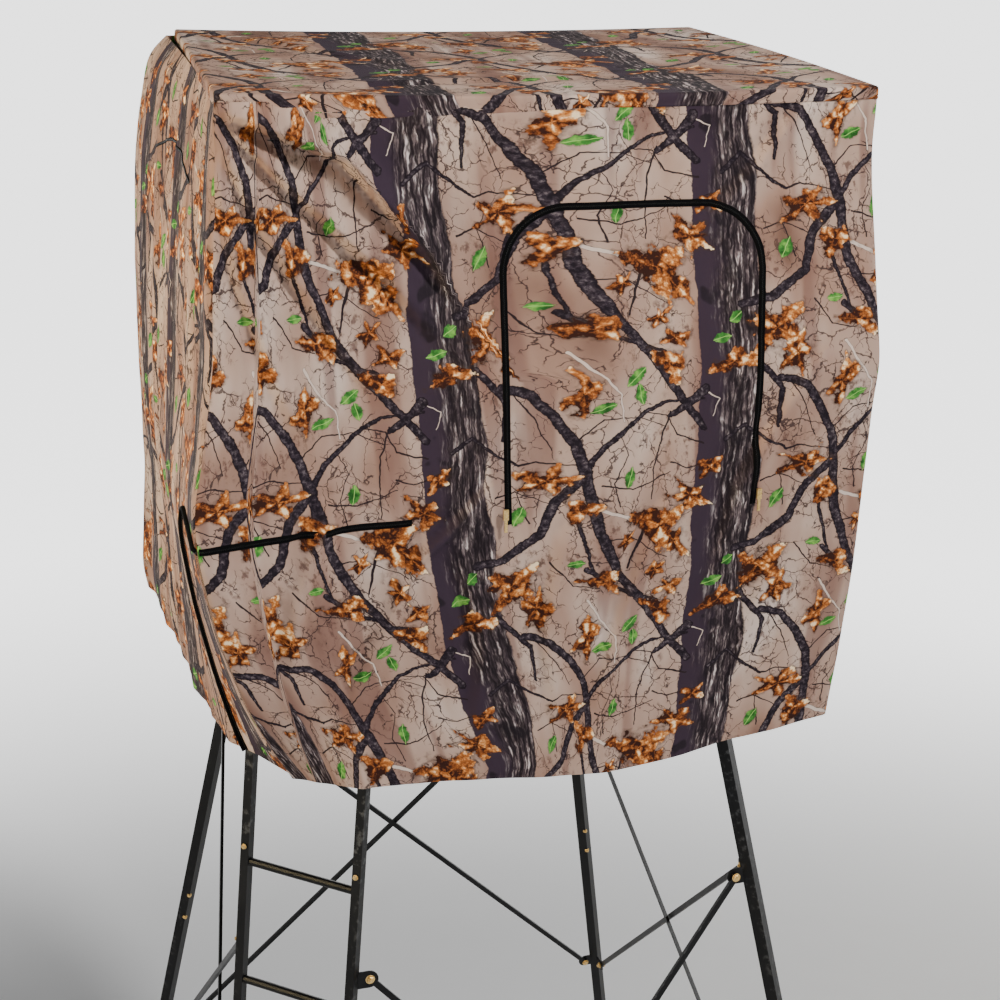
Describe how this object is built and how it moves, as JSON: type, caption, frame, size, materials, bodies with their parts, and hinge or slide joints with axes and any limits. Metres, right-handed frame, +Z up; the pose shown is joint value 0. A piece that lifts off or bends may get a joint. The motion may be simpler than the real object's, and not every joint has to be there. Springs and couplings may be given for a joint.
{
  "type": "tripod hunting stand",
  "caption": "Raised hunting stand: three splayed legs and a corner ladder carry a railed platform with swivel seats inside a camouflage cloth blind.",
  "frame": {"origin": "bottom centre of the bounding box, on the ground under the middle of the platform", "axes": "+Z up; the window side faces -Y; the ladder stands at the -X -Y corner"},
  "size_m": [2.427, 2.653, 5.24],
  "materials": {
    "brace_back_a": "satin black powder coat",
    "brace_back_b": "satin black powder coat",
    "brace_front_a": "satin black powder coat",
    "brace_front_b": "satin black powder coat",
    "brace_left_a": "satin black powder coat",
    "brace_left_b": "satin black powder coat",
    "brace_right_a": "satin black powder coat",
    "brace_right_b": "satin black powder coat",
    "door_flap": "matte woven camouflage cloth",
    "entry_gate": "satin black powder coat",
    "foot_back_left": "matte moulded rubber",
    "foot_back_right": "matte moulded rubber",
    "foot_front_right": "matte moulded rubber",
    "ladder_grab_rail_left": "satin black powder coat",
    "ladder_grab_rail_right": "satin black powder coat",
    "ladder_lower": "satin black powder coat",
    "ladder_middle": "satin black powder coat",
    "ladder_upper": "satin black powder coat",
    "leg_lower_back_left": "satin black powder coat",
    "leg_lower_back_right": "satin black powder coat",
    "leg_lower_front_right": "satin black powder coat",
    "leg_middle_back_left": "satin black powder coat",
    "leg_middle_back_right": "satin black powder coat",
    "leg_middle_front_right": "satin black powder coat",
    "leg_upper_back_left": "satin black powder coat",
    "leg_upper_back_right": "satin black powder coat",
    "leg_upper_front_right": "satin black powder coat",
    "platform_deck": "rough black powder coat",
    "platform_frame": "satin black powder coat",
    "rail_pad_back": "matte foam in knitted cover",
    "rail_pad_front": "matte foam in knitted cover",
    "rail_pad_left": "matte foam in knitted cover",
    "rail_pad_right": "matte foam in knitted cover",
    "roof_cloth": "matte woven camouflage cloth",
    "roof_cross_pole": "satin black powder coat",
    "roof_frame": "satin black powder coat",
    "seat_back_cushion_left": "matte foam in knitted cover",
    "seat_back_cushion_right": "matte foam in knitted cover",
    "seat_back_frame_left": "satin black powder coat",
    "seat_back_frame_right": "satin black powder coat",
    "seat_cushion_left": "matte foam in knitted cover",
    "seat_cushion_right": "matte foam in knitted cover",
    "seat_frame_left": "satin black powder coat",
    "seat_frame_right": "satin black powder coat",
    "seat_post_left": "satin black powder coat",
    "seat_post_right": "satin black powder coat",
    "shooting_rail": "satin black powder coat",
    "upright_back_left": "satin black powder coat",
    "upright_back_right": "satin black powder coat",
    "upright_door_left": "satin black powder coat",
    "upright_door_right": "satin black powder coat",
    "upright_front_right": "satin black powder coat",
    "wall_back": "matte woven camouflage cloth",
    "wall_front": "matte woven camouflage cloth",
    "wall_left": "matte woven camouflage cloth",
    "wall_right": "matte woven camouflage cloth",
    "window_flap": "matte woven camouflage cloth",
    "zip_slider_window_left": "satin yellow zinc",
    "zip_slider_window_right": "satin yellow zinc"
  },
  "bodies": {
    "stand": {"brace_back_a": "brace_back_a", "brace_back_b": "brace_back_b", "brace_front_a": "brace_front_a", "brace_front_b": "brace_front_b", "brace_left_a": "brace_left_a", "brace_left_b": "brace_left_b", "brace_right_a": "brace_right_a", "brace_right_b": "brace_right_b", "foot_back_left": "foot_back_left", "foot_back_right": "foot_back_right", "foot_front_right": "foot_front_right", "ladder_grab_rail_left": "ladder_grab_rail_left", "ladder_grab_rail_right": "ladder_grab_rail_right", "ladder_lower": "ladder_lower", "ladder_middle": "ladder_middle", "ladder_upper": "ladder_upper", "leg_lower_back_left": "leg_lower_back_left", "leg_lower_back_right": "leg_lower_back_right", "leg_lower_front_right": "leg_lower_front_right", "leg_middle_back_left": "leg_middle_back_left", "leg_middle_back_right": "leg_middle_back_right", "leg_middle_front_right": "leg_middle_front_right", "leg_upper_back_left": "leg_upper_back_left", "leg_upper_back_right": "leg_upper_back_right", "leg_upper_front_right": "leg_upper_front_right", "platform_deck": "platform_deck", "platform_frame": "platform_frame", "rail_pad_back": "rail_pad_back", "rail_pad_front": "rail_pad_front", "rail_pad_left": "rail_pad_left", "rail_pad_right": "rail_pad_right", "roof_cloth": "roof_cloth", "roof_cross_pole": "roof_cross_pole", "roof_frame": "roof_frame", "seat_post_left": "seat_post_left", "seat_post_right": "seat_post_right", "shooting_rail": "shooting_rail", "upright_back_left": "upright_back_left", "upright_back_right": "upright_back_right", "upright_door_left": "upright_door_left", "upright_door_right": "upright_door_right", "upright_front_right": "upright_front_right", "wall_back": "wall_back", "wall_front": "wall_front", "wall_left": "wall_left", "wall_right": "wall_right"},
    "entry_gate": {"entry_gate": "entry_gate"},
    "window_flap": {"window_flap": "window_flap"},
    "door_flap": {"door_flap": "door_flap"},
    "zip_slider_left": {"zip_slider_window_left": "zip_slider_window_left"},
    "zip_slider_right": {"zip_slider_window_right": "zip_slider_window_right"},
    "seat_left": {"seat_frame_left": "seat_frame_left", "seat_cushion_left": "seat_cushion_left"},
    "seat_back_left": {"seat_back_frame_left": "seat_back_frame_left", "seat_back_cushion_left": "seat_back_cushion_left"},
    "seat_right": {"seat_frame_right": "seat_frame_right", "seat_cushion_right": "seat_cushion_right"},
    "seat_back_right": {"seat_back_frame_right": "seat_back_frame_right", "seat_back_cushion_right": "seat_back_cushion_right"}
  },
  "joints": [
    {"name": "gate_lift", "type": "hinge", "parent": "stand", "child": "entry_gate", "pos_m": [-0.66141, -0.28031, 4.45], "axis": [-0.7546, -0.6562, 0], "range_deg": [0, 95]},
    {"name": "window_drop", "type": "hinge", "parent": "stand", "child": "window_flap", "pos_m": [-0.31799, -0.78036, 4.255], "axis": [0.9986, -0.0536, 0], "range_deg": [0, 165]},
    {"name": "door_swing", "type": "hinge", "parent": "stand", "child": "door_flap", "pos_m": [-0.35, -0.8, 3.66], "axis": [0, 0, 1], "range_deg": [0, 110]},
    {"name": "left_zip", "type": "slide", "parent": "stand", "child": "zip_slider_left", "axis": [-0.0284, -0.0022, 0.9996], "range_m": [0, 0.3]},
    {"name": "right_zip", "type": "slide", "parent": "stand", "child": "zip_slider_right", "axis": [-0.0318, -0.0538, 0.998], "range_m": [0, 0.3]},
    {"name": "left_seat_turn", "type": "hinge", "parent": "stand", "child": "seat_left", "pos_m": [-0.34, 0.22, 4.05], "axis": [0, 0, 1], "continuous": true},
    {"name": "left_back_fold", "type": "hinge", "parent": "seat_left", "child": "seat_back_left", "pos_m": [-0.34, 0.41, 4.1373], "axis": [1, 0, 0], "range_deg": [0, 80]},
    {"name": "right_seat_turn", "type": "hinge", "parent": "stand", "child": "seat_right", "pos_m": [0.34, 0.22, 4.05], "axis": [0, 0, 1], "continuous": true},
    {"name": "right_back_fold", "type": "hinge", "parent": "seat_right", "child": "seat_back_right", "pos_m": [0.34, 0.41, 4.1373], "axis": [1, 0, 0], "range_deg": [0, 80]}
  ]
}
